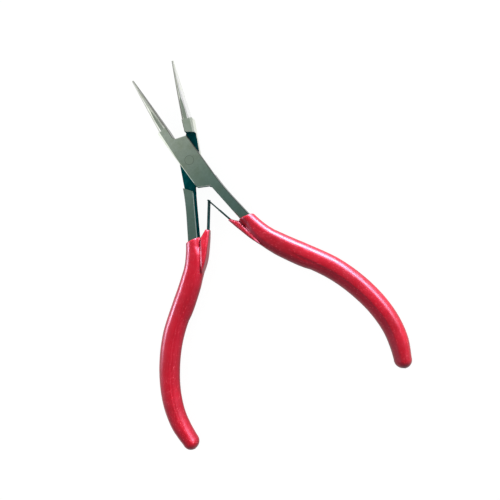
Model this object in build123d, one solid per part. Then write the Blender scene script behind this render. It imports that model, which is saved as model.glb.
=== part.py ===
"""Needle nose pliers with a lap joint, dipped grips and a double leaf spring.

Units are millimetres. The pliers lie flat: +Z is the pivot's axis, +Y runs from the pivot
towards the jaw tips along the line midway between the halves, and the origin is on the pivot
axis, in the underside of the joint. The front half is the one whose joint plate is on top.

Both halves are the same forging. Each piece is drawn for the front half in the closed
position, turned about the pivot to the open rest position, and turned over about the Y axis
for the back half. A leaf spring is one strip of steel: its riveted root is one solid and its
flexing blade another, because the blade turns about the bend between them.
"""

import os

from build123d import *

# ---- driving dimensions ----
THICKNESS = 5.2          # steel, top face to underside
OPEN_HALF_ANGLE = 12.3   # each half's turn from closed to the open rest position, degrees
JOINT_NOSE_SIDE = 3.75   # from the pivot axis to the edge on the nose's side
JOINT_HANDLE_SIDE = 4.65 # and to the edge on the handle's side
BLOCK_CORNER = 4.2       # the block behind the nose is this much wider at its outer corner
PLATE_GAP = 0.04         # between the two joint plates
EDGE_BREAK = 0.25        # chamfer ground along the top and bottom edges

# jaw
JAW_BASE_Y = 16.2        # where the tapered nose starts
NOSE_MID_Y = 24.8        # where the nose stops being flat on top
TIP_Y = 40.2
JAW_FACE_X = -0.03       # gripping face, just short of the closing line
JAW_RELIEF = 0.22        # behind the nose, the inner edge is cut back this much
NOSE_BASE_WIDTH = 3.6
NOSE_TIP_WIDTH = 0.75
NOSE_BASE_HALF_HEIGHT = 2.8
NOSE_TIP_HALF_HEIGHT = 0.42
NOSE_ROUND_SHARE = 0.54  # the round section's half width, as a share of the nose's width
NOSE_OVERLAP = 0.4       # how far the nose runs into the bar behind it

# joint plate, and the shoulders that the other half's plate swings between
PLATE_TOP = ((0.2, 10.2), (JOINT_HANDLE_SIDE, 8.6))
PLATE_BOTTOM = ((-JOINT_NOSE_SIDE, -10.35), (0.95, -12.95))
BACK_PLATE_BOTTOM = ((-JOINT_NOSE_SIDE, -8.6), (0.6, -10.1))   # the back half's plate ends sooner
UPPER_SHOULDER = ((-4.1, 10.3), (0.2, 11.3))
SHOULDER_GAP = 0.2       # between the plate's lower end and the other half's shoulder
SHANK_BEND_Y = -10.5     # where the outer edge starts to bend into the handle

# soft bevel ground along the block's outer edges, fading out towards the pivot
BEVEL_WIDTH = 1.0
BEVEL_DEPTH = 0.45
BEVEL_END_Y = 1.5

# pivot rivet
RIVET_RADIUS = 1.6
RIVET_HEAD_RADIUS = 1.85
RIVET_HEAD_DEPTH = 0.9
RIVET_CLEARANCE = 0.04   # in the back half, which turns on it

# handle: its centre line from the grip's mouth to its end, and the tang's half width there
HANDLE_PATH = (
    (4.65, -30.0), (7.25, -39.5), (13.6, -53.25), (20.1, -65.15),
    (24.5, -78.5), (25.8, -91.0), (24.0, -101.5), (21.3, -107.8),
)
TANG_HALF_WIDTHS = (1.88, 1.95, 2.3, 2.35, 2.3, 2.2, 2.0, 1.7)
HANDLE_START = (0.12, -1.0)

# dipped grip: a coat of vinyl over the tang, thicker where it also covers the spring's root
GRIP_THICKNESS = 7.2
GRIP_HALF_WIDTHS = (3.05, 3.3, 3.95, 4.2, 4.1, 3.9, 3.7, 3.4)
GRIP_EDGE_RADIUS = 2.4
MOUTH_OUTER_Y = -31.6
MOUTH_INNER_Y = -29.8
INNER_BULGE = ((0.10, 2.2), (0.20, 1.3), (0.305, 0.45), (0.42, 0.08), (0.53, 0.0))
POCKET_EDGE = ((2.25, -30.0), (3.3, -40.0))    # the coat's edge that faces the sleeve
POCKET_START = 0.4         # the pocket for the sleeve starts this far up the blade
BEND_ROOM = 0.6            # radius and end gap of the room for the blade's round end

# leaf springs
LEAF_THICKNESS = 0.5
LEAF_WIDTH = 3.0
LEAF_BEND = (2.3, -40.0)   # where the blade leaves the riveted root, and flexes
APEX_Y = -17.1             # where the two blades cross, in the rest position
ROOT_MEETS_SHARE = 0.235   # how far down the handle the root comes to lie on the tang
ROOT_END_SHARE = 0.29
ROOT_SEAT = 0.03           # the root's face stands this far off the tang
ROOT_GAP = 0.1             # between the root's end and the blade's round end
FORK_START = 3.0           # tongue and fork start this far before the crossing
TONGUE_WIDTH = 1.1
TONGUE_OVERRUN = 0.95
FORK_SLOT = 1.5
FORK_OVERRUN = 0.6
LEAF_RIVET_SHARE = 0.255
LEAF_RIVET_RADIUS = 0.6
LEAF_RIVET_HEAD_RADIUS = 1.05
LEAF_RIVET_HEAD = 0.45
LEAF_RIVET_DEPTH = 3.0

# sleeve: the part of the dipped coat that runs up the blade
SLEEVE_START = 1.0         # distances up the blade from the bend
SLEEVE_END = 12.5
SLEEVE_WIDTH = 4.8
SLEEVE_INNER = 0.85        # half thickness on the side that faces the other handle
SLEEVE_OUTER = 0.7
SLEEVE_EDGE_RADIUS = 0.6

MID = THICKNESS / 2
FAR = 60.0                 # longer than anything it has to cut through


# ---- helpers ----
def flat(points):
    """Points in the drawing plane from pairs of coordinates."""
    return [Vector(x, y, 0) for x, y in points]


def prism(outline, low, high):
    """The solid between two heights over a closed outline, given as a wire or its corners."""
    wire = outline if isinstance(outline, Wire) else Wire.make_polygon(flat(outline))
    return extrude(Pos(0, 0, low) * make_face(wire.edges()), high - low)


def line_y(ends, x):
    """Height of the line through two points at x."""
    (x0, y0), (x1, y1) = ends
    return y0 + (y1 - y0) * (x - x0) / (x1 - x0)


def at_rest(shape):
    """The front half's piece, from the closed position to the open rest position."""
    return Rot(0, 0, OPEN_HALF_ANGLE) * shape


def turned_over(shape):
    """The front half's piece as the back half's: half a turn about the Y axis."""
    return Pos(0, 0, THICKNESS) * Rot(0, 180, 0) * shape


# ---- handle path, and edges beside it ----
def handle_path():
    points = flat(HANDLE_PATH)
    last = points[-1] - points[-2]
    return Edge.make_spline(points, tangents=[Vector(*HANDLE_START, 0), last])


def path_shares(path):
    """How far along the path each of its points lies, from 0 to 1."""
    return [path.param_at_point(point) for point in flat(HANDLE_PATH)]


def inward(path, share):
    """Unit vector across the path, towards the other handle."""
    along = path.tangent_at(share)
    return Vector(along.Y, -along.X, 0)


def beside(path, share, distance):
    """The point beside the path: a positive distance is towards the other handle."""
    return path.position_at(share) + inward(path, share) * distance


def handle_edges(widths):
    """Outer edge, inner edge and round end of a handle with these half widths."""
    path = handle_path()
    shares = path_shares(path)
    ends = [path.tangent_at(0), path.tangent_at(1)]
    outer_points = [beside(path, s, -w) for s, w in zip(shares, widths)]
    inner_points = [beside(path, s, w) for s, w in zip(shares, widths)]
    outer = Edge.make_spline(outer_points, tangents=ends)
    inner = Edge.make_spline(inner_points, tangents=ends)
    tip = path.position_at(1) + path.tangent_at(1) * widths[-1]
    return outer, inner, Edge.make_three_point_arc(outer_points[-1], tip, inner_points[-1])


# ---- steel halves ----
def nose_width(y):
    share = (y - JAW_BASE_Y) / (TIP_Y - JAW_BASE_Y)
    return NOSE_BASE_WIDTH + share * (NOSE_TIP_WIDTH - NOSE_BASE_WIDTH)


def nose():
    """The tapered jaw: a round section, flat where it grips and where it meets the faces."""
    start = JAW_BASE_Y - NOSE_OVERLAP
    sections = []
    for y, half_height in (
        (start, NOSE_BASE_HALF_HEIGHT), (NOSE_MID_Y, MID), (TIP_Y, NOSE_TIP_HALF_HEIGHT),
    ):
        width = nose_width(y)
        half_width = NOSE_ROUND_SHARE * width
        plane = Plane(origin=(half_width - width, y, MID), x_dir=(1, 0, 0), z_dir=(0, -1, 0))
        sections.append(plane * Ellipse(half_width, half_height))
    inside = prism([(-FAR, 0), (JAW_FACE_X, 0), (JAW_FACE_X, FAR), (-FAR, FAR)], 0, THICKNESS)
    return loft(sections) & inside


def half_outline():
    """The half seen from above, without its nose, in the closed position."""
    outer, inner, end = handle_edges(TANG_HALF_WIDTHS)
    block = Polyline(
        inner.position_at(0),
        Vector(*PLATE_BOTTOM[1]),
        Vector(*PLATE_BOTTOM[0]),
        Vector(-BLOCK_CORNER, JAW_BASE_Y - 0.2),
        Vector(-NOSE_BASE_WIDTH, JAW_BASE_Y),
        Vector(JAW_FACE_X, JAW_BASE_Y),
        Vector(JAW_FACE_X - JAW_RELIEF, line_y(UPPER_SHOULDER, 0)),
        Vector(*PLATE_TOP[0]),
        Vector(*PLATE_TOP[1]),
        Vector(JOINT_HANDLE_SIDE, SHANK_BEND_Y),
    )
    shank = Edge.make_spline(
        [Vector(JOINT_HANDLE_SIDE, SHANK_BEND_Y), outer.position_at(0)],
        tangents=[Vector(0, -1, 0), outer.tangent_at(0)],
    )
    return Wire([*block.edges(), shank, outer, end, inner])


def recess():
    """What is cut away under the joint plate, where the other half's plate swings."""
    reach = JOINT_HANDLE_SIDE + 2
    lower = tuple((-x, y - SHOULDER_GAP) for x, y in PLATE_BOTTOM)
    corners = [
        (-reach, line_y(UPPER_SHOULDER, -reach)),
        (reach, line_y(UPPER_SHOULDER, reach)),
        (reach, line_y(lower, reach)),
        (-reach, line_y(lower, -reach)),
    ]
    return prism(corners, -1, MID + PLATE_GAP / 2)


def bevels():
    """What is ground off the block's outer edge, above and below."""
    corner = Vector(-BLOCK_CORNER, JAW_BASE_Y, THICKNESS - BEVEL_DEPTH)
    inner = Vector(BEVEL_WIDTH - BLOCK_CORNER, JAW_BASE_Y, THICKNESS)
    along = Vector(-JOINT_NOSE_SIDE, BEVEL_END_Y, THICKNESS) - inner
    ground = Plane(origin=inner, x_dir=along, z_dir=(corner - inner).cross(along))
    above = ground * Pos(along.length / 2, 0, 1) * Box(2 * along.length, 8, 2)
    return above + mirror(above, about=Plane(origin=(0, 0, MID)))


def rivet(clearance):
    """The pivot rivet, flared at both ends, or the hole for it with some clearance."""
    shank = RIVET_RADIUS + clearance
    head = RIVET_HEAD_RADIUS + clearance
    profile = Polyline(
        (0, 0), (head, 0), (shank, RIVET_HEAD_DEPTH),
        (shank, THICKNESS - RIVET_HEAD_DEPTH), (head, THICKNESS), (0, THICKNESS), close=True,
    )
    return revolve(Plane.XZ * make_face(profile), Axis.Z)


def bar():
    """The forging's flat bar, with the long edges broken."""
    steel = prism(half_outline(), 0, THICKNESS)
    rims = steel.edges().group_by(Axis.Z)
    return chamfer(rims[0] + rims[-1], EDGE_BREAK) - bevels()


def half(clearance):
    """One half, in the closed position, as the front one."""
    return bar() + nose() - recess() - rivet(clearance) - leaf_rivet()


def plate_cut():
    """What the back half's plate lacks at its lower end, beside the shank's inner edge."""
    corner_x, corner_y = PLATE_BOTTOM[1]
    outer_x = -JOINT_NOSE_SIDE - 1
    outline = [
        BACK_PLATE_BOTTOM[1], PLATE_BOTTOM[1], (corner_x, corner_y - 1),
        (outer_x, corner_y - 1), (outer_x, line_y(BACK_PLATE_BOTTOM, outer_x)),
    ]
    return prism(outline, -1, THICKNESS + 1)


# ---- leaf springs ----
def bend_point():
    return Vector(*LEAF_BEND)


def blade_vector():
    """From the bend to the crossing, in the closed position's frame."""
    return Vector(0, APEX_Y, 0).rotate(Axis.Z, -OPEN_HALF_ANGLE) - bend_point()


def along_blade():
    """A placement whose X runs up the blade from the bend, at mid thickness."""
    return Plane(origin=bend_point() + Vector(0, 0, MID), x_dir=blade_vector(), z_dir=(0, 0, 1))


def root_line():
    """The root's centre line: from the bend to the tang's inner edge, then along it."""
    seat = LEAF_THICKNESS / 2 + ROOT_SEAT
    _, inner, _ = handle_edges([width + seat for width in TANG_HALF_WIDTHS])
    away = blade_vector().normalized() * -1
    start = bend_point() + away * (LEAF_THICKNESS / 2 + ROOT_GAP)
    meets = inner.position_at(ROOT_MEETS_SHARE)
    end = inner.position_at(ROOT_END_SHARE)
    return Edge.make_spline([start, meets, end], tangents=[away, inner.tangent_at(ROOT_END_SHARE)])


def leaf_root():
    """The riveted part of the leaf, a strip standing on edge."""
    line = Pos(0, 0, MID) * root_line()
    section = Plane(origin=line.position_at(0), x_dir=(0, 0, 1), z_dir=line.tangent_at(0))
    strip = sweep(section * Rectangle(LEAF_WIDTH, LEAF_THICKNESS), path=line)
    return strip - leaf_rivet() - bar()


def leaf_blade(end_width, overrun, slot):
    """The flexing blade: full width up to the fork, then a tongue or two prongs."""
    length = blade_vector().length
    shoulder = length - FORK_START
    outline = Sketch() + Pos(shoulder / 2, 0) * Rectangle(shoulder, LEAF_WIDTH)
    outline += Pos(shoulder + (FORK_START + overrun) / 2, 0) * Rectangle(FORK_START + overrun, end_width)
    if slot:
        outline -= Pos(shoulder + FAR / 2, 0) * Rectangle(FAR, slot)
    side = Plane(along_blade().origin, x_dir=blade_vector(), z_dir=blade_vector().cross(Vector(0, 0, 1)))
    blade = extrude(side * outline, LEAF_THICKNESS / 2, both=True)
    return blade + Pos(*bend_point()) * upright_round(LEAF_THICKNESS / 2, LEAF_WIDTH)


def upright_round(radius, width):
    """An upright round bar centred on mid thickness."""
    return Pos(0, 0, MID) * Cylinder(radius, width)


def leaf_rivet():
    """The small rivet that holds a root on the tang, headed on the coat's side."""
    _, inner, _ = handle_edges(TANG_HALF_WIDTHS)
    seat = inner.position_at(LEAF_RIVET_SHARE)
    out = inward(inner, LEAF_RIVET_SHARE)
    plane = Plane(origin=seat + Vector(0, 0, MID), x_dir=(0, 0, 1), z_dir=out)
    shank_length = LEAF_RIVET_DEPTH + LEAF_THICKNESS
    shank = Pos(0, 0, LEAF_THICKNESS - shank_length / 2) * Cylinder(LEAF_RIVET_RADIUS, shank_length)
    head = Pos(0, 0, LEAF_THICKNESS + LEAF_RIVET_HEAD / 2) * Cylinder(LEAF_RIVET_HEAD_RADIUS, LEAF_RIVET_HEAD)
    return plane * (shank + head)


# ---- dipped vinyl ----
def sleeve(blade):
    """The coat on the blade's lower half."""
    length = SLEEVE_END - SLEEVE_START
    thickness = SLEEVE_INNER + SLEEVE_OUTER
    centre = Pos(SLEEVE_START + length / 2, (SLEEVE_INNER - SLEEVE_OUTER) / 2)
    coat = along_blade() * centre * Box(length, thickness, SLEEVE_WIDTH)
    rims = coat.edges().group_by(Axis.Z)
    return fillet(rims[0] + rims[-1], SLEEVE_EDGE_RADIUS) - blade


def grip_outline():
    """The coat seen from above, from its slanted mouth to the handle's end."""
    path = handle_path()
    outer, inner, end = handle_edges(GRIP_HALF_WIDTHS)
    shares = path_shares(path)
    bulged = [beside(path, share, width_at(path, share) + extra) for share, extra in INNER_BULGE]
    lower = [beside(path, s, w) for s, w in zip(shares, GRIP_HALF_WIDTHS) if s > INNER_BULGE[-1][0]]
    inner_edge = Edge.make_spline([*bulged, *lower], tangents=[bulged[1] - bulged[0], path.tangent_at(1)])
    mouth = Polyline(inner_edge.position_at(0), Vector(0, MOUTH_INNER_Y + 2), outer.position_at(0) + Vector(0, 2))
    top = Line(outer.position_at(0) + Vector(0, 2), outer.position_at(0))
    return Wire([*mouth.edges(), *top.edges(), outer, end, inner_edge])


def width_at(path, share):
    """The grip's half width part way along the handle, without its bulge."""
    shares = path_shares(path)
    for (s0, w0), (s1, w1) in zip(zip(shares, GRIP_HALF_WIDTHS), zip(shares[1:], GRIP_HALF_WIDTHS[1:])):
        if s0 <= share <= s1:
            return w0 + (w1 - w0) * (share - s0) / (s1 - s0)
    raise ValueError(share)


def pocket():
    """Where the sleeve swings, beside the coat's edge, and room for the blade's round end."""
    blade = blade_vector().normalized()
    across = Vector(-blade.Y, blade.X, 0)
    top, low = flat(POCKET_EDGE)
    up = (top - low).normalized()
    start = bend_point() + blade * POCKET_START
    corners = [low, top + up * FAR, top + up * FAR + across * FAR, start + across * FAR, start]
    space = prism([(p.X, p.Y) for p in corners], -FAR, FAR)
    return space + Pos(*bend_point()) * upright_round(BEND_ROOM, LEAF_WIDTH + 2 * ROOT_GAP)


def mouth_cut():
    """The space above the slanted line where the coat ends."""
    run = 2 * GRIP_HALF_WIDTHS[0]
    slope = (MOUTH_OUTER_Y - MOUTH_INNER_Y) / run
    inner_x = HANDLE_PATH[0][0] - run / 2
    line = [(x, MOUTH_INNER_Y + slope * (x - inner_x)) for x in (-FAR, FAR)]
    return prism([*line, (FAR, FAR), (-FAR, FAR)], -FAR, FAR)


def grip(solids_inside):
    """The dipped coat of one handle."""
    low = MID - GRIP_THICKNESS / 2
    coat = prism(grip_outline(), low, low + GRIP_THICKNESS) - mouth_cut()
    rims = coat.edges().group_by(Axis.Z)
    long_rims = (rims[0] + rims[-1]).filter_by(lambda rim: rim.center().Y < LEAF_BEND[1])
    coat = fillet(long_rims, GRIP_EDGE_RADIUS) - pocket()
    for solid in solids_inside:
        coat -= solid
    return coat


# ---- the pieces, as built for one half ----
def half_pieces(clearance, end_width, overrun, slot):
    """Every piece that one half carries, in the closed position."""
    blade = leaf_blade(end_width, overrun, slot)
    root = leaf_root()
    tang = bar()
    return {
        "half": half(clearance),
        "leaf_blade": blade,
        "leaf_root": root,
        "leaf_rivet": leaf_rivet(),
        "leaf_sleeve": sleeve(blade),
        "grip": grip([tang, root, leaf_rivet()]),
    }


def main():
    os.makedirs("parts", exist_ok=True)
    front = half_pieces(0, TONGUE_WIDTH, TONGUE_OVERRUN, 0)
    back = half_pieces(RIVET_CLEARANCE, LEAF_WIDTH, FORK_OVERRUN, FORK_SLOT)
    back["half"] -= plate_cut()
    nodes = {"pivot_rivet": rivet(0)}
    for name, shape in front.items():
        nodes["front_" + name] = at_rest(shape)
    for name, shape in back.items():
        nodes["back_" + name] = turned_over(at_rest(shape))
    for name, shape in nodes.items():
        export_step(shape, os.path.join("parts", name + ".step"))


main()
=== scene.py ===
"""Looks of the needle nose pliers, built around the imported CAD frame.

The drawing is in millimetres, in the closed position of the front half: x away from the
other handle, y from the pivot towards the jaw tips, z from mid thickness. rest_point turns it
to the open rest position, turns it over for the back half and gives metres in the row frame.
"""

import math

import bmesh
import bpy
import numpy as np
from mathutils import Matrix, Vector


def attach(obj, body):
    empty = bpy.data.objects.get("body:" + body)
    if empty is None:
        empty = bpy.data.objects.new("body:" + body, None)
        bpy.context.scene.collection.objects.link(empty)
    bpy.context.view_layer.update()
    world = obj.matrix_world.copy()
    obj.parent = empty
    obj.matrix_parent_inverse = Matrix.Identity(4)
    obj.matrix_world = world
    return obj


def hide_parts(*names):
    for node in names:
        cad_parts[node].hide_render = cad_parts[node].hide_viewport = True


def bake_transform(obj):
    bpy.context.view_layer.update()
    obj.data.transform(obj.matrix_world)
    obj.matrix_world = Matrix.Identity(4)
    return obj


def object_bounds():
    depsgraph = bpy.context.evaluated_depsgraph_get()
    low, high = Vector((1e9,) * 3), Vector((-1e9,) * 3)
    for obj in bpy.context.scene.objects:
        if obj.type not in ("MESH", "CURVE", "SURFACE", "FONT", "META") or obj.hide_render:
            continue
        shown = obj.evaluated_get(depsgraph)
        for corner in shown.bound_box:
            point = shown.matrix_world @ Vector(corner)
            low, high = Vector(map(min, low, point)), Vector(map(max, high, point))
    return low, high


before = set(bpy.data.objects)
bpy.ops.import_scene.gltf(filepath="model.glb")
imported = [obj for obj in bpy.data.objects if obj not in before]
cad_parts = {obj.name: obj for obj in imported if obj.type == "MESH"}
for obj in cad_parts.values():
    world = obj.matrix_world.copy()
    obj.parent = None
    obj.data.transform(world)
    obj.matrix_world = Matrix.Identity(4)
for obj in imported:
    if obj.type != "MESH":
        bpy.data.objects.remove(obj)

MM = 0.001
cad_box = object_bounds()

# ---- sizes shared with the CAD model ----
MID = 2.6                     # mid thickness, above the underside of the joint
OPEN_HALF_ANGLE = math.radians(12.3)
HANDLE_PATH = (
    (4.65, -30.0), (7.25, -39.5), (13.6, -53.25), (20.1, -65.15),
    (24.5, -78.5), (25.8, -91.0), (24.0, -101.5), (21.3, -107.8),
)
HANDLE_START = (0.12, -1.0)
LEAF_BEND = (2.3, -40.0)      # where the leaf leaves its riveted root
APEX = (0.4, -17.35)          # where the leaves cross, in the rest position
LEAF_MOUTHS = {"front": (-0.65, -27.9), "back": (-1.55, -27.9)}
LEAF_BENDS = {"front": (2.8, -40.0), "back": (2.2, -40.0)}
SAG = {"front": (-0.1, 0.0), "back": (-0.25, 0.0)}
LEAF_ROOTS = {
    "front": ((5.25, -44.6), (7.5, -48.6), (9.6, -52.4)),
    "back": ((4.55, -44.2), (6.95, -48.2), (9.2, -52.2)),
}
LEAF_THICKNESS = 0.5
LEAF_WIDTH = 3.0

# ---- camera: above the joint, a little to the right and towards the handles ----
CAMERA_PLACE = Vector((35.05, -51.52, 192.94)) * MM
CAMERA_RIGHT = Vector((0.90651, -0.39384, -0.15207))
CAMERA_UP = Vector((0.39740, 0.91761, -0.00752))


def make_camera():
    data = bpy.data.cameras.new("camera")
    data.lens = 36
    data.sensor_width = 36
    data.clip_start = 0.01
    camera = bpy.data.objects.new("camera", data)
    bpy.context.collection.objects.link(camera)
    back = CAMERA_RIGHT.cross(CAMERA_UP).normalized()
    right = CAMERA_UP.cross(back).normalized()
    turn = Matrix((right, back.cross(right), back)).transposed().to_4x4()
    camera.matrix_world = Matrix.Translation(CAMERA_PLACE) @ turn
    bpy.context.scene.camera = camera


# ---- from the drawing to the row frame ----
def rest_points(points, side):
    """Drawing points (mm, from mid thickness) as row frame points (m) of side front or back."""
    points = np.asarray(points, float)
    c, s = math.cos(OPEN_HALF_ANGLE), math.sin(OPEN_HALF_ANGLE)
    x = points[:, 0] * c - points[:, 1] * s
    y = points[:, 0] * s + points[:, 1] * c
    z = points[:, 2]
    if side == "back":
        x, z = -x, -z
    return np.stack([x, y, z + MID], 1) * MM


def closed_point(x, y):
    """A point of the rest position, in the drawing's closed position."""
    c, s = math.cos(OPEN_HALF_ANGLE), math.sin(OPEN_HALF_ANGLE)
    return np.array((x * c + y * s, -x * s + y * c))


# ---- smooth paths in the drawing plane ----
BATCH = 20000                 # points measured at once


def smooth_path(points, step, start=None, end=None):
    """Points every step along a natural cubic spline, with given end directions if any."""
    points = np.asarray(points, float)
    chord = np.r_[0, np.cumsum(np.linalg.norm(np.diff(points, axis=0), axis=1))]
    n = len(points)
    a = np.zeros((n, n))
    b = np.zeros((n, 2))
    h = np.diff(chord)
    for i in range(1, n - 1):
        a[i, i - 1:i + 2] = h[i], 2 * (h[i - 1] + h[i]), h[i - 1]
        slope0 = (points[i] - points[i - 1]) / h[i - 1]
        slope1 = (points[i + 1] - points[i]) / h[i]
        b[i] = 3 * (h[i] * slope0 + h[i - 1] * slope1)
    for i, direction, near in ((0, start, 1), (n - 1, end, n - 2)):
        if direction is None:
            a[i, i], a[i, near] = 2, 1
            b[i] = 3 * (points[i] - points[near]) / (chord[i] - chord[near])
        else:
            a[i, i] = 1
            b[i] = np.asarray(direction) / np.linalg.norm(direction)
    slopes = np.linalg.solve(a, b)
    at = np.linspace(0, chord[-1], int(chord[-1] / step) + 1)
    i = np.clip(np.searchsorted(chord, at, side="right") - 1, 0, n - 2)
    t = ((at - chord[i]) / h[i])[:, None]
    hi = h[i][:, None]
    return (
        (1 + 2 * t) * (1 - t) ** 2 * points[i] + t * (1 - t) ** 2 * hi * slopes[i]
        + t * t * (3 - 2 * t) * points[i + 1] + t * t * (t - 1) * hi * slopes[i + 1]
    )


class Path:
    """A chain of short straight pieces, and where points lie beside it."""

    def __init__(self, points):
        self.points = points
        self.steps = np.diff(points, axis=0)
        self.lengths = np.linalg.norm(self.steps, axis=1)
        self.at = np.r_[0, np.cumsum(self.lengths)]

    def beside(self, p):
        """Distance along the path, signed distance across it (+ is towards the other handle)."""
        nearest = np.empty(len(p), int)
        for first in range(0, len(p), BATCH):
            part = p[first:first + BATCH]
            gap = (part ** 2).sum(1)[:, None] - 2 * part @ self.points.T + (self.points ** 2).sum(1)
            nearest[first:first + BATCH] = gap.argmin(1)
        best = None
        for piece in (nearest - 1, nearest):
            piece = np.clip(piece, 0, len(self.steps) - 1)
            away = p - self.points[piece]
            step = self.steps[piece]
            share = np.clip((away * step).sum(1) / self.lengths[piece] ** 2, 0, 1)
            gap = np.linalg.norm(away - step * share[:, None], axis=1)
            inner = away[:, 0] * step[:, 1] - away[:, 1] * step[:, 0] > 0
            found = gap, self.at[piece] + share * self.lengths[piece], inner
            if best is None:
                best = found
            else:
                closer = gap < best[0]
                best = [np.where(closer, new, old) for new, old in zip(found, best)]
        gap, along, inner = best
        return along, np.where(inner, gap, -gap)


def smooth_min(a, b, k):
    """The smaller of two distances, blended where they differ by less than k."""
    h = np.clip(0.5 + 0.5 * (b - a) / k, 0, 1)
    return b + (a - b) * h - k * h * (1 - h)


def smooth_max(a, b, k):
    return -smooth_min(-a, -b, k)


def rounded_bar(plan, z, half_height, radius):
    """Signed distance to an upright shape, given its plan distance, with rounded long edges."""
    a = plan + radius
    b = np.abs(z) - half_height + radius
    outside = np.hypot(np.maximum(a, 0), np.maximum(b, 0))
    return np.minimum(np.maximum(a, b), 0) + outside - radius


def half_plane(p, a, b):
    """Signed distance to the line from a to b: positive on its left."""
    a, b = np.asarray(a, float), np.asarray(b, float)
    d = (b - a) / np.linalg.norm(b - a)
    return d[0] * (p[:, 1] - a[1]) - d[1] * (p[:, 0] - a[0])


# ---- a closed mesh from a signed distance ----
def surface_net(values, low, step):
    """Vertices and quads of the zero surface of values sampled on a grid."""
    inside = values < 0
    shape = np.array(values.shape) - 1
    total = np.zeros((*shape, 3))
    count = np.zeros(shape)
    for axis in range(3):
        others = [k for k in range(3) if k != axis]
        for corner in ((0, 0), (0, 1), (1, 0), (1, 1)):
            near = [slice(None)] * 3
            far = [slice(None)] * 3
            offset = np.zeros(3)
            near[axis], far[axis] = slice(0, -1), slice(1, None)
            for k, c in zip(others, corner):
                near[k] = far[k] = slice(c, values.shape[k] - 1 + c)
                offset[k] = c
            f0, f1 = values[tuple(near)], values[tuple(far)]
            crossing = inside[tuple(near)] != inside[tuple(far)]
            t = np.where(crossing, f0 / np.where(crossing, f0 - f1, 1), 0)
            for k in range(3):
                total[..., k] += np.where(crossing, t if k == axis else offset[k], 0)
            count += crossing
    active = count > 0
    number = np.full(tuple(shape), -1)
    number[active] = np.arange(active.sum())
    cell = np.argwhere(active)
    vertices = (cell + total[active] / count[active][:, None]) * step + low
    quads = []
    for axis in range(3):
        u, v = (axis + 1) % 3, (axis + 2) % 3
        near = [slice(1, -1)] * 3
        far = [slice(1, -1)] * 3
        near[axis], far[axis] = slice(0, -1), slice(1, None)
        change = inside[tuple(near)].astype(int) - inside[tuple(far)].astype(int)
        for sign in (1, -1):
            found = np.argwhere(change == sign)
            found[:, u] += 1
            found[:, v] += 1
            if sign == 1:
                ring = ((0, 0), (-1, 0), (-1, -1), (0, -1))
            else:
                ring = ((0, 0), (0, -1), (-1, -1), (-1, 0))
            corners = []
            for du, dv in ring:
                at = found.copy()
                at[:, u] += du
                at[:, v] += dv
                corners.append(number[tuple(at.T)])
            quads.append(np.stack(corners, 1))
    return vertices, np.concatenate(quads)


def make_piece(name, vertices, faces, material):
    mesh = bpy.data.meshes.new(name)
    mesh.from_pydata([tuple(v) for v in vertices], [], [tuple(int(i) for i in f) for f in faces])
    mesh.validate()
    mesh.update()
    mesh.shade_smooth()
    piece = bpy.data.objects.new(name, mesh)
    bpy.context.collection.objects.link(piece)
    mesh.materials.append(material)
    return piece


# ---- dipped grip, with its sheath up the leaf ----
BLADE_LENGTH = 24.0           # from the crossing down to the bend
GRIP_HALF_HEIGHT = 3.6
GRIP_ROUND = 2.6
GRIP_STEP = 0.26
GRIP_LOW = (-3.6, -112.6, -4.4)
GRIP_HIGH = (31.6, -26.0, 4.4)
PATH_STEP = 0.6
PROBE = 0.02                  # how far the slope of the distance is measured
LEAST_SLOPE = 0.2
# half widths of the coat beside the handle's path: (distance along it, half width)
OUTER_WIDTHS = (
    (0, 3.2), (3, 3.05), (6.2, 2.9), (9.8, 2.75), (12.6, 2.85), (16, 3.25), (19.5, 3.55),
    (25, 3.95), (38.6, 4.2), (52.6, 4.12), (65.2, 3.92), (75.9, 3.72), (82, 3.3),
)
INNER_WIDTHS = (
    (0, 2.4), (3, 2.6), (6, 3.9), (8, 4.4), (10, 4.75), (13.7, 5.1), (18, 5.2), (22.5, 5.05),
    (27, 4.95), (29.5, 4.8), (32, 4.45), (36, 4.4), (52.6, 4.3), (65.2, 4.1), (75.9, 3.7),
    (82, 3.2),
)
# how far the coat's faces fall towards its edges: (distance along the path, fall)
CROWNS = ((0, 0.2), (8, 0.35), (20, 1.0), (60, 1.2), (82, 1.0))
# a low step along the inner side: (distance along the path, depth)
SHOULDERS = ((20, 0.0), (30, 0.22), (70, 0.22), (80, 0.0))
SHOULDER_START = 1.1          # across the path
SHOULDER_RUN = 0.5
MOUTH_OUTER = (8.0, -31.2)
MOUTH_INNER = (2.2, -29.8)
GROOVE = ((1.9, -30.0), (3.2, -40.0))
SHEATH_LIP = (-1.95, -27.9)
SHEATH_TOP = (-0.75, -27.45)
SHEATH_NOTCH = (1.75, -30.35)
SHEATH_ROUND = 0.8
# against the height above the bend: how far the sheath stands in from the leaf, and how tall it is
SHEATH_WIDTHS = ((-6, 0.45), (0, 0.55), (5, 0.6), (9, 0.7), (12.6, 0.7))
SHEATH_HEIGHTS = ((-5, 3.4), (1, 3.3), (6, 2.9), (12.5, 1.9))
SHEATH_FOOT = 6.0
MELT = 1.0                    # how softly coat and sheath run together
END_SOFT = 0.5                # the same for the coat's mouth and the sheath's foot
LIP_SOFT = 0.3                # and for the sheath's lip, notch and groove
SEAM_ABOVE_BEND = 1.0         # where the moving sheath parts from the coat
SEAM_BLOCK = (30, 20, 9)      # along the groove, across it, and half its height
SEAM_SHARP = math.radians(50)


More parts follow.
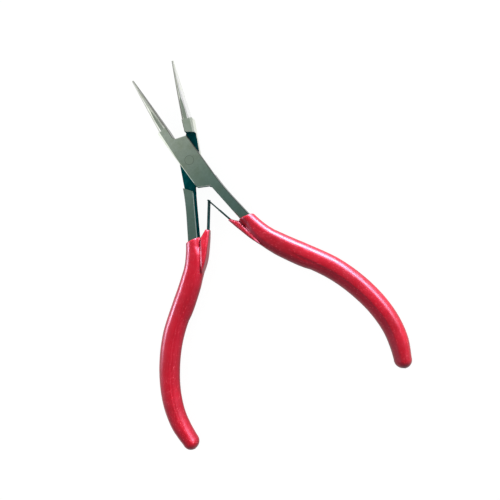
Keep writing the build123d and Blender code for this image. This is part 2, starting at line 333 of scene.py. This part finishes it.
def leaf_points(side, step):
    """The leaf's centre line from the crossing down to its root's end, in the drawing."""
    x = APEX[0] if side == "front" else -APEX[0]
    top = closed_point(x, APEX[1])
    mouth, bend = np.array(LEAF_MOUTHS[side]), np.array(LEAF_BENDS[side])
    along = mouth - top
    knots = [top, top + along * 0.5, mouth, (mouth + bend) / 2 + SAG[side], bend, *LEAF_ROOTS[side]]
    return smooth_path(knots, step, start=along)


def grip_paths(side):
    handle = Path(smooth_path(HANDLE_PATH, PATH_STEP, start=HANDLE_START))
    return handle, Path(leaf_points(side, PATH_STEP))


def widths(table, at):
    """The table's second column, read at places in its first."""
    return np.interp(at, [row[0] for row in table], [row[1] for row in table])


def grip_plan(p, handle, leaf):
    """What the grip's distance needs from the plan view at each point."""
    along, across = handle.beside(p)
    width = np.where(across > 0, widths(INNER_WIDTHS, along), widths(OUTER_WIDTHS, along))
    coat = np.abs(across) - width
    crown = np.clip(across / width, -1, 1) ** 2 * widths(CROWNS, along)
    step = np.clip((across - SHOULDER_START) / SHOULDER_RUN, 0, 1)
    crown += step * widths(SHOULDERS, along)
    mouth = half_plane(p, MOUTH_INNER, MOUTH_OUTER)
    leaf_along, leaf_across = leaf.beside(p)
    up = BLADE_LENGTH - leaf_along
    sheath = leaf_across - widths(SHEATH_WIDTHS, up)
    for a, b in (
        (SHEATH_TOP, SHEATH_LIP), (SHEATH_NOTCH, SHEATH_TOP), (GROOVE[1], GROOVE[0]),
    ):
        sheath = smooth_max(sheath, -half_plane(p, a, b), LIP_SOFT)
    sheath = smooth_max(sheath, -up - SHEATH_FOOT, END_SOFT)
    tall = widths(SHEATH_HEIGHTS, up)
    return coat, crown, mouth, sheath, tall


def grip_distance(plan, z):
    """Signed distance to the coat and sheath at heights z, from what grip_plan gives."""
    coat, crown, mouth, sheath, tall = plan
    body = rounded_bar(coat, z, GRIP_HALF_HEIGHT - crown, GRIP_ROUND)
    body = smooth_max(body, mouth, END_SOFT)
    branch = rounded_bar(sheath, z, tall, SHEATH_ROUND)
    return smooth_min(body, branch, MELT)


def grip_mesh(side):
    """Vertices (drawing, mm) and quads of the coat and sheath in one."""
    handle, leaf = grip_paths(side)
    low, high = np.array(GRIP_LOW), np.array(GRIP_HIGH)
    counts = np.ceil((high - low) / GRIP_STEP).astype(int) + 1
    axes = [low[k] + GRIP_STEP * np.arange(counts[k]) for k in range(3)]
    grid = np.stack(np.meshgrid(axes[0], axes[1], indexing="ij"), -1).reshape(-1, 2)
    plan = grip_plan(grid, handle, leaf)
    layers = [grip_distance(plan, np.full(len(grid), z)).reshape(counts[:2]) for z in axes[2]]
    vertices, quads = surface_net(np.stack(layers, 2), low, GRIP_STEP)
    for _ in range(2):
        vertices = onto_surface(vertices, handle, leaf)
    return vertices, quads


def onto_surface(v, handle, leaf):
    """One step of each vertex straight towards the zero surface."""
    plan = grip_plan(v[:, :2], handle, leaf)
    value = grip_distance(plan, v[:, 2])
    slope = np.empty_like(v)
    for k in range(3):
        moved = v.copy()
        moved[:, k] += PROBE
        shifted = plan if k == 2 else grip_plan(moved[:, :2], handle, leaf)
        slope[:, k] = (grip_distance(shifted, moved[:, 2]) - value) / PROBE
    square = np.maximum((slope ** 2).sum(1), LEAST_SLOPE)
    move = slope * (value / square)[:, None]
    return v - np.clip(move, -GRIP_STEP, GRIP_STEP)


def leaf_up():
    """Unit vector up the blade, in the drawing."""
    blade = closed_point(0, APEX[1]) - np.array(LEAF_BEND)
    return blade / np.linalg.norm(blade)


def bend_with_leaf(piece):
    """The piece's placement is baked into its mesh."""
    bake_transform(piece)


def cut(piece, cutter, operation, name):
    """A copy of the piece, cut by a closed mesh."""
    copy = piece.copy()
    copy.data = piece.data.copy()
    copy.name = copy.data.name = name
    bpy.context.collection.objects.link(copy)
    modifier = copy.modifiers.new("cut", "BOOLEAN")
    modifier.operation = operation
    modifier.solver = "EXACT"
    modifier.object = cutter
    settle(copy)
    copy.data.set_sharp_from_angle(angle=SEAM_SHARP)
    return copy


def settle(piece):
    """Modifiers become part of the mesh."""
    bpy.context.view_layer.update()
    evaluated = piece.evaluated_get(bpy.context.evaluated_depsgraph_get())
    mesh = bpy.data.meshes.new_from_object(evaluated)
    piece.modifiers.clear()
    old = piece.data
    piece.data = mesh
    mesh.name = piece.name
    bpy.data.meshes.remove(old)


def seam_wedge(side, material):
    """A block over the sheath: its faces are the seams between sheath and coat."""
    up = leaf_up()
    groove_low, groove_top = np.array(GROOVE[1]), np.array(GROOVE[0])
    along = (groove_top - groove_low) / np.linalg.norm(groove_top - groove_low)
    level = np.array(LEAF_BEND) + up * SEAM_ABOVE_BEND
    across = np.array((-up[1], up[0]))
    t = ((level - groove_low) @ up) / (along @ up)
    corner = groove_low + along * t
    length, width, height = SEAM_BLOCK
    far = corner + along * length
    plan = [corner, far, far + across * width, corner + across * width]
    low = [(x, y, -height) for x, y in plan]
    high = [(x, y, height) for x, y in plan]
    faces = [(3, 2, 1, 0), (4, 5, 6, 7)]
    faces += [(i, (i + 1) % 4, (i + 1) % 4 + 4, i + 4) for i in range(4)]
    wedge = make_piece("seam", rest_points(low + high, side), faces, material)
    fix = bmesh.new()
    fix.from_mesh(wedge.data)
    bmesh.ops.recalc_face_normals(fix, faces=fix.faces)
    fix.to_mesh(wedge.data)
    fix.free()
    return wedge


def make_grips(material):
    """Both dipped coats, each cut into the coat on its half and the sheath on its leaf."""
    for side in ("front", "back"):
        vertices, quads = grip_mesh(side)
        whole = make_piece(side + "_whole", rest_points(vertices, side), quads, material)
        wedge = seam_wedge(side, material)
        coat = cut(whole, wedge, "DIFFERENCE", side + "_grip_coat")
        sheath = cut(whole, wedge, "INTERSECT", side + "_leaf_sheath")
        for done in (whole, wedge):
            bpy.data.objects.remove(done)
        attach(coat, side)
        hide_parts(side + "_grip")
        bend_with_leaf(sheath)
        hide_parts(side + "_leaf_sleeve")


# ---- leaf springs: the front one ends in a tongue, the back one in a fork ----
TONGUE_WIDTH = 1.1
FORK_SLOT = 1.5
FORK_LENGTH = 5.5             # tongue and fork start this far before the crossing
TONGUE_PAST = 0.3             # straight past the crossing, then curled over
CURL_RADIUS = 0.35
CURL_TURN = math.radians(70)
PRONG_PAST = 0.5
CURL_STEPS = 8
LEAF_STEP = 0.35
EDGE_ROUND = 0.07
EDGE_ANGLE = math.radians(50)     # edges sharper than this are rounded
LEAF_SHARP = math.radians(40)


def leaf_line(side):
    """The leaf's centre line from its root's end to its tip, and the distance to the crossing."""
    line = leaf_points(side, LEAF_STEP)[::-1]
    up = line[-1] - line[-2]
    up /= np.linalg.norm(up)
    before = np.arange(len(line) - 1, -1, -1) * LEAF_STEP
    past = TONGUE_PAST if side == "front" else PRONG_PAST
    line = [*line, line[-1] + up * past]
    if side == "front":
        centre = line[-1] + np.array((-up[1], up[0])) * CURL_RADIUS
        arm = np.array((up[1], -up[0])) * CURL_RADIUS
        for turn in np.linspace(0, CURL_TURN, CURL_STEPS + 1)[1:]:
            c, s = math.cos(turn), math.sin(turn)
            line.append(centre + (arm[0] * c - arm[1] * s, arm[0] * s + arm[1] * c))
    return np.array(line), np.r_[before, np.zeros(len(line) - len(before))]


def make_leaf(side, material):
    """One leaf: a strip of columns along its line, narrowed to the tongue or fork, and thickened."""
    line, before = leaf_line(side)
    half, tongue, slot = LEAF_WIDTH / 2, TONGUE_WIDTH / 2, FORK_SLOT / 2
    columns = (-half, -slot, -tongue, tongue, slot, half)
    vertices = [(x, y, z) for x, y in line for z in columns]
    faces = []
    for row in range(len(line) - 1):
        narrow = before[row] <= FORK_LENGTH
        for column in range(len(columns) - 1):
            middle = abs(columns[column] + columns[column + 1]) / 2
            kept = middle < tongue if side == "front" else middle > slot
            if kept or not narrow:
                first = row * len(columns) + column
                faces.append((first, first + 1, first + len(columns) + 1, first + len(columns)))
    leaf = make_piece(side + "_leaf_spring", rest_points(vertices, side), faces, material)
    mesh = bmesh.new()
    mesh.from_mesh(leaf.data)
    loose = [v for v in mesh.verts if not v.link_faces]
    bmesh.ops.delete(mesh, geom=loose, context="VERTS")
    mesh.to_mesh(leaf.data)
    mesh.free()
    thick = leaf.modifiers.new("thick", "SOLIDIFY")
    thick.thickness = LEAF_THICKNESS * MM
    thick.offset = 0
    soften = leaf.modifiers.new("soften", "BEVEL")
    soften.width = EDGE_ROUND * MM
    soften.segments = 2
    soften.limit_method = "ANGLE"
    soften.angle_limit = EDGE_ANGLE
    settle(leaf)
    leaf.data.shade_smooth()
    leaf.data.set_sharp_from_angle(angle=LEAF_SHARP)
    bend_with_leaf(leaf)
    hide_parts(side + "_leaf_root", side + "_leaf_blade")


# ---- materials ----
def ramp(tree, value, table):
    """A colour or grey read from a table of (place, level) rows."""
    node = tree.nodes.new("ShaderNodeValToRGB")
    tree.links.new(value, node.inputs[0])
    stops = node.color_ramp.elements
    while len(stops) < len(table):
        stops.new(0.5)
    for stop, (place, level) in zip(stops, table):
        stop.position = place
        stop.color = (*level, 1) if isinstance(level, tuple) else (level, level, level, 1)
    return node.outputs[0]


class Nodes:
    """A short way to build a node material."""

    def __init__(self, name):
        self.material = bpy.data.materials.new(name)
        self.material.use_nodes = True
        self.tree = self.material.node_tree
        self.shader = self.tree.nodes["Principled BSDF"]
        self.place = self.add("ShaderNodeTexCoord").outputs["Object"]

    def add(self, kind, **inputs):
        node = self.tree.nodes.new(kind)
        for name, value in inputs.items():
            self.join(value, node.inputs[name.replace("_", " ")])
        return node

    def join(self, value, socket):
        if isinstance(value, bpy.types.NodeSocket):
            self.tree.links.new(value, socket)
        else:
            socket.default_value = value

    def math(self, operation, a, b=0.0, clamp=False):
        node = self.tree.nodes.new("ShaderNodeMath")
        node.operation = operation
        node.use_clamp = clamp
        self.join(a, node.inputs[0])
        self.join(b, node.inputs[1])
        return node.outputs[0]

    def noise(self, scale, detail=2.0, roughness=0.5, vector=None):
        vector = vector or self.place
        node = self.add("ShaderNodeTexNoise", Vector=vector, Scale=scale, Detail=detail)
        node.inputs["Roughness"].default_value = roughness
        return node.outputs["Fac"]

    def drawing(self, output, flip, scale=1.0):
        """A vector of the surface, in the directions of the closed drawing."""
        source = self.tree.nodes["Texture Coordinate"].outputs[output]
        turn = self.add("ShaderNodeMapping", Vector=source, Rotation=(0, 0, -OPEN_HALF_ANGLE))
        turn.inputs["Scale"].default_value = (flip * scale, scale, scale)
        return self.add("ShaderNodeSeparateXYZ", Vector=turn.outputs[0]).outputs

    def scaled(self, place, factors):
        """A place with each of its axes scaled, for stretched noise."""
        joined = self.tree.nodes.new("ShaderNodeCombineXYZ")
        for axis, factor in zip("XYZ", factors):
            self.join(self.math("MULTIPLY", place[axis], factor), joined.inputs[axis])
        return joined.outputs[0]

    def table(self, value, rows, low, high):
        """A colour or grey from a table of (value, level) rows between low and high."""
        at = self.add("ShaderNodeMapRange", Value=value)
        at.inputs["From Min"].default_value = low
        at.inputs["From Max"].default_value = high
        stops = [((place - low) / (high - low), level) for place, level in rows]
        return ramp(self.tree, at.outputs[0], stops)

    def tinted(self, colour, tint):
        node = self.tree.nodes.new("ShaderNodeMix")
        node.data_type = "RGBA"
        node.blend_type = "MULTIPLY"
        self.join(1.0, node.inputs["Factor"])
        self.join(colour, node.inputs["A"])
        self.join(tint, node.inputs["B"])
        return node.outputs["Result"]

    def between(self, value, low, high, out_low=0.0, out_high=1.0):
        """A smooth step from out_low at low to out_high at high."""
        node = self.add("ShaderNodeMapRange", Value=value)
        node.interpolation_type = "SMOOTHSTEP"
        ends = {"From Min": low, "From Max": high, "To Min": out_low, "To Max": out_high}
        for name, number in ends.items():
            node.inputs[name].default_value = number
        return node.outputs[0]

    def mix(self, share, a, b):
        node = self.tree.nodes.new("ShaderNodeMix")
        node.data_type = "RGBA"
        self.join(share, node.inputs["Factor"])
        for value, socket in ((a, node.inputs["A"]), (b, node.inputs["B"])):
            self.join((*value, 1) if isinstance(value, tuple) else value, socket)
        return node.outputs["Result"]

    def bump(self, height, strength, distance):
        node = self.add("ShaderNodeBump", Height=height, Strength=strength, Distance=distance)
        self.join(node.outputs[0], self.shader.inputs["Normal"])

    def set(self, **inputs):
        for name, value in inputs.items():
            if isinstance(value, tuple):
                value = (*value, 1)
            self.join(value, self.shader.inputs[name.replace("_", " ")])


STEEL = (0.56, 0.58, 0.55)
STEEL_STAINED = (0.50, 0.52, 0.46)
# painted reflection: the steel is tinted darker towards the grips, where less light is mirrored;
# tint against the distance from the pivot to the tips, mm
REFLECTION_TINT_FROM, REFLECTION_TINT_TO = -30, 12
PAINTED_REFLECTION_TINT = (
    (-30, (0.44, 0.53, 0.54)), (-20, (0.46, 0.57, 0.58)), (-13, (0.52, 0.61, 0.60)),
    (-7, (0.60, 0.68, 0.66)), (0, (0.74, 0.77, 0.73)), (6, (0.88, 0.89, 0.86)),
    (12, (1.0, 1.0, 0.97)),
)
# painted highlights and shade on the noses: tint against how far the surface leans, from the outer
# side to the gripping side
PAINTED_NOSE_SHADING = {
    "front": (
        (-1.0, 0.35), (-0.93, 0.5), (-0.8, 0.9), (-0.5, 1.2), (-0.3, 1.15), (-0.12, 0.95),
        (0.1, 1.0), (0.3, 1.65), (0.75, 1.5), (0.84, 0.8), (0.92, 0.35), (1.0, 0.25),
    ),
    "back": (
        (-1.0, 1.3), (-0.95, 1.7), (-0.3, 1.7), (-0.12, 1.0),
        (0.1, 1.0), (0.25, 1.3), (0.45, 1.1), (0.65, 0.8), (0.85, 0.5), (0.93, 0.35), (1.0, 0.25),
    ),
}
# on the noses: the painted highlights and shade are scaled darker towards the tips; tint against the
# distance from the pivot, mm
NOSE_FROM, NOSE_TO = 16, 40
NOSE_SHADING_FADE = ((16, 1.0), (24, 0.85), (32, 0.7), (40, 0.6))
# painted shade on the rounded inner edges and a painted highlight on the outer bevels
INNER_CHAMFER_SHADE = 0.45          # tint of the rounded inner edges
OUTER_BEVEL_HIGHLIGHT = 1.7             # tint of the bevels on the outer side
DARK_STEEL = (0.0, 0.075, 0.085)
DARK_STEEL_WORN = (0.008, 0.12, 0.135)
SPRING = (0.05, 0.10, 0.105)
SPRING_WORN = (0.12, 0.18, 0.18)
VINYL = (0.137, 0.001, 0.0042)
VINYL_DEEP = (0.102, 0.0007, 0.0026)
SPECK = (0.80, 0.16, 0.20)
SPECK_SHARE = 0.3
# painted shade on the vinyl's steep sides: tint against how level the surface is: 0 upright, 1 level
VINYL_SIDE_SHADE = ((0.0, 0.5), (0.3, 0.65), (0.6, 0.9), (0.85, 1.0), (1.0, 1.0))
RIVET_HEAD = 1.85             # radius of the head
RIVET_TINT = (0.72, 0.76, 0.72)
JAW_BASE_Y = 16.2             # where the noses start
# the jaws' sides are ground and those below are darker: where the change starts and ends, mm
GROUND_SIDES_FROM, GROUND_SIDES_TO = 9.0, 12.0


def steel_material(side):
    """Ground steel on the faces and jaws, black scale in the recess, darker inner sides."""
    n = Nodes(side + "_steel")
    flip = 1 if side == "front" else -1
    normal = n.drawing("Normal", flip)
    place = n.drawing("Object", flip, 1 / MM)
    u, v, lean = place["X"], place["Y"], normal["X"]
    level = n.math("ABSOLUTE", normal["Z"])

    # darker: the inner sides and shoulders; black scale: the level faces at mid thickness
    wall = n.between(level, 0.15, 0.35, 1, 0)
    inner = n.math("MULTIPLY", n.between(lean, -0.6, -0.3, 1, 0), n.between(u, 0, 0.4))
    inner = n.math("MULTIPLY", inner, n.between(v, GROUND_SIDES_FROM, GROUND_SIDES_TO, 1, 0))
    shoulder = n.between(n.math("ABSOLUTE", normal["Y"]), 0.8, 0.9)
    dark_wall = n.math("MULTIPLY", wall, n.math("MAXIMUM", inner, shoulder))
    off_middle = n.math("ABSOLUTE", n.math("SUBTRACT", place["Z"], MID))
    middle = n.between(off_middle, 0.2, 0.3, 1, 0)
    recess = n.math("MULTIPLY", middle, n.between(level, 0.6, 0.9))
    black = n.math("MAXIMUM", dark_wall, recess, clamp=True)

    # ground steel: clouds, the painted reflection tint, then streaks and painted highlight and shade
    # bands on the noses
    cloud = n.noise(260, 4, 0.6)
    fine = n.noise(1400, 3, 0.6)
    grain = n.noise(1.0, 3, 0.6, vector=n.scaled(place, (2.2, 0.25, 1)))
    ground = n.mix(n.between(cloud, 0.35, 0.7), STEEL, STEEL_STAINED)
    # painted reflection: darker towards the grips
    ground = n.tinted(ground, n.table(v, PAINTED_REFLECTION_TINT, REFLECTION_TINT_FROM, REFLECTION_TINT_TO))
    on_nose = n.between(v, JAW_BASE_Y - 0.3, JAW_BASE_Y + 0.3)
    lines = n.noise(1.0, 2, vector=n.scaled(place, (3.0, 0.06, 3.0)))
    streak = n.between(lines, 0.3, 0.7, 0.8, 1.15)
    # painted highlight and shade bands by the lean of the nose's surface, scaled darker towards the
    # tips
    nose_shading = n.math("MULTIPLY", n.table(lean, PAINTED_NOSE_SHADING[side], -1, 1), streak)
    nose_shading = n.math("MULTIPLY", nose_shading, n.table(v, NOSE_SHADING_FADE, NOSE_FROM, NOSE_TO))
    ground = n.mix(on_nose, ground, n.tinted(ground, nose_shading))

    # painted shade on the inner chamfers and a painted highlight on the outer bevels, then the
    # finest mottle
    chamfer_shade = n.math("MULTIPLY", n.between(level, 0.9, 0.8), n.between(lean, 0.4, 0.6))
    chamfer_shade = n.math("MULTIPLY", chamfer_shade, n.math("SUBTRACT", 1.0, on_nose, clamp=True))
    ground = n.tinted(ground, n.between(chamfer_shade, 0, 1, 1, INNER_CHAMFER_SHADE))
    bevel_highlight = n.math("MULTIPLY", n.between(level, 0.97, 0.94), n.between(lean, -0.25, -0.32))
    ground = n.tinted(ground, n.between(bevel_highlight, 0, 1, 1, OUTER_BEVEL_HIGHLIGHT))
    ground = n.tinted(ground, n.between(fine, 0.25, 0.75, 0.94, 1.06))

    scale = n.mix(n.between(n.noise(500, 3), 0.45, 0.75), DARK_STEEL, DARK_STEEL_WORN)
    n.set(Base_Color=n.mix(black, ground, scale))
    n.set(Metallic=n.between(black, 0, 1, 1, 0), Specular_IOR_Level=0.0)
    rough = n.math("ADD", n.between(grain, 0.2, 0.8, 0.28, 0.32), n.math("MULTIPLY", black, 0.1))
    n.set(Roughness=rough)
    n.bump(grain, 0.02, 0.00003)
    return n.material


def rivet_material():
    """Like the faces, with a dark joint line round the head's rim."""
    n = Nodes("rivet_steel")
    cloud = n.noise(600, 3, 0.6)
    flat = n.add("ShaderNodeVectorMath", Vector=n.place)
    flat.operation = "MULTIPLY"
    flat.inputs[1].default_value = (1 / MM, 1 / MM, 0)
    length = n.add("ShaderNodeVectorMath", Vector=flat.outputs[0])
    length.operation = "LENGTH"
    rim = n.between(length.outputs["Value"], RIVET_HEAD - 0.25, RIVET_HEAD, 1, 0.35)
    steel = n.tinted(n.mix(cloud, STEEL_STAINED, STEEL), n.tinted(rim, (*RIVET_TINT, 1)))
    n.set(Base_Color=steel, Metallic=1.0)
    n.set(Roughness=n.between(cloud, 0.2, 0.8, 0.28, 0.4))
    n.bump(n.noise(1500, 2), 0.1, 0.00002)
    return n.material


def spring_material():
    """Dark blued steel, a little worn."""
    n = Nodes("spring_steel")
    cloud = n.noise(700, 3, 0.6)
    n.set(Base_Color=n.mix(n.between(cloud, 0.4, 0.8), SPRING, SPRING_WORN), Metallic=1.0)
    n.set(Specular_Tint=(0.25, 0.36, 0.37))
    n.set(Roughness=n.between(cloud, 0.2, 0.8, 0.3, 0.45))
    n.bump(n.noise(2500, 2), 0.1, 0.00002)
    return n.material


def vinyl_material():
    """Satin dipped vinyl: slow colour drift, fine specks, painted shade on the steep sides and a
    slight orange peel.
    """
    n = Nodes("red_vinyl")
    drift = n.between(n.noise(60, 3, 0.5), 0.35, 0.65)
    base = n.mix(drift, VINYL, VINYL_DEEP)
    specks = n.between(n.noise(2600, 2, 0.6), 0.64, 0.72)
    base = n.mix(n.math("MULTIPLY", specks, SPECK_SHARE), base, SPECK)
    facing = n.tree.nodes["Texture Coordinate"].outputs["Normal"]
    normal = n.add("ShaderNodeSeparateXYZ", Vector=facing).outputs
    # painted shade: the steep sides are darkened
    side_shade = n.table(n.math("ABSOLUTE", normal["Z"]), VINYL_SIDE_SHADE, 0, 1)
    n.set(Base_Color=n.tinted(base, side_shade))
    n.set(Roughness=n.between(n.noise(400, 3), 0.3, 0.7, 0.34, 0.42))
    n.set(IOR=1.40, Specular_Tint=(1.0, 0.6, 0.95))
    peel = n.math("ADD", n.noise(450, 2), n.math("MULTIPLY", n.noise(3200, 2, 0.6), 0.05))
    n.bump(peel, 0.05, 0.0001)
    return n.material


def floor_material():
    """Grey paper that also glows, so that it shows as pale as the ground it stands for."""
    n = Nodes("floor")
    paper = n.noise(30, 3)
    n.set(Base_Color=n.mix(paper, FLOOR_DARK, FLOOR_PALE), Roughness=0.9)
    rays = n.add("ShaderNodeLightPath").outputs
    mirrored = n.between(rays["Is Glossy Ray"], 0, 1, FLOOR_GLOW["soft"], FLOOR_GLOW["mirrored"])
    seen = n.between(rays["Is Camera Ray"], 0, 1, 0, FLOOR_GLOW["seen"])
    n.set(Emission_Color=(1.0, 1.0, 1.0), Emission_Strength=n.math("MAXIMUM", mirrored, seen))
    return n.material


def finish_nodes():
    """Materials of the CAD nodes that stay in view."""
    rivet = rivet_material()
    for name, material in (
        ("front_half", steel_material("front")), ("back_half", steel_material("back")),
        ("pivot_rivet", rivet), ("front_leaf_rivet", rivet), ("back_leaf_rivet", rivet),
    ):
        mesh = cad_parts[name].data
        mesh.materials.clear()
        mesh.materials.append(material)


# ---- studio ----
# the sky's grey against the cosine of the angle from straight up: a white tent, open above
TENT = ((0.0, 0.35), (0.25, 0.55), (0.45, 0.85), (0.68, 0.85), (0.84, 0.12), (1.0, 0.0))
# and, over the jaws' end of the room, against the share of the direction that points there
WINDOW_SIDE = (-0.49, 0.87, 0.0)
WINDOW = (
    (0.0, (0.14, 0.235, 0.215)), (0.15, (0.155, 0.26, 0.235)), (0.225, (0.185, 0.30, 0.265)),
    (0.305, (0.28, 0.395, 0.33)), (0.36, (0.42, 0.50, 0.44)), (0.44, (0.65, 0.69, 0.63)),
    (0.7, (1.2, 1.2, 1.2)),
)
FLOOR_DARK, FLOOR_PALE = (0.09, 0.09, 0.09), (0.11, 0.11, 0.11)
# how brightly the floor glows to the camera, in a mirror, and as light on the pieces
FLOOR_GLOW = {"seen": 0.95, "mirrored": 0.85, "soft": 0.3}
FLOOR_SIZE = 4
# name, place, width and height in metres, power in watts
SOFTBOXES = (
    ("far_softbox", (0.45, 0.52, 0.16), 0.60, 0.30, 52.0),
    ("right_softbox", (0.62, 0.10, 0.30), 0.30, 0.30, 14.0),
    ("left_softbox", (-0.60, 0.28, 0.24), 0.20, 0.26, 10.0),
)
VINYL_PIECES = ("front_grip_coat", "front_leaf_sheath", "back_grip_coat", "back_leaf_sheath")


def make_floor(height):
    bpy.ops.mesh.primitive_plane_add(size=FLOOR_SIZE, location=(0, 0, height))
    floor = bpy.context.object
    floor.name = "floor"
    floor.data.materials.append(floor_material())


def make_sky():
    """A soft white tent with a dark opening overhead, brighter beyond the jaws."""
    world = bpy.data.worlds.new("studio")
    bpy.context.scene.world = world
    world.use_nodes = True
    tree = world.node_tree
    coord = tree.nodes.new("ShaderNodeTexCoord").outputs["Generated"]
    split = tree.nodes.new("ShaderNodeSeparateXYZ")
    tree.links.new(coord, split.inputs[0])
    side = tree.nodes.new("ShaderNodeVectorMath")
    side.operation = "DOT_PRODUCT"
    side.inputs[1].default_value = WINDOW_SIDE
    tree.links.new(coord, side.inputs[0])
    both = tree.nodes.new("ShaderNodeMix")
    both.data_type = "RGBA"
    both.blend_type = "LIGHTEN"
    both.inputs["Factor"].default_value = 1
    tree.links.new(ramp(tree, split.outputs["Z"], TENT), both.inputs["A"])
    tree.links.new(ramp(tree, side.outputs["Value"], WINDOW), both.inputs["B"])
    tree.links.new(both.outputs["Result"], tree.nodes["Background"].inputs["Color"])


def softbox(name, place, width, height, power, lit):
    """An area light that faces the joint and lights only the pieces in the collection lit."""
    data = bpy.data.lights.new(name, "AREA")
    data.shape = "RECTANGLE"
    data.size = width
    data.size_y = height
    data.energy = power
    light = bpy.data.objects.new(name, data)
    bpy.context.collection.objects.link(light)
    light.location = place
    light.rotation_euler = (-Vector(place)).to_track_quat("-Z", "Y").to_euler()
    light.light_linking.receiver_collection = lit


def make_softboxes():
    """The softboxes light the vinyl; the steel mirrors the tent and the floor alone."""
    lit = bpy.data.collections.new("vinyl_pieces")
    for name in VINYL_PIECES:
        lit.objects.link(bpy.data.objects[name])
    for box in SOFTBOXES:
        softbox(*box, lit)


make_camera()
make_floor(cad_box[0][2])
make_sky()
finish_nodes()
make_grips(vinyl_material())
make_softboxes()
for side in ("front", "back"):
    make_leaf(side, spring_material())
bpy.context.scene.view_settings.view_transform = "Standard"
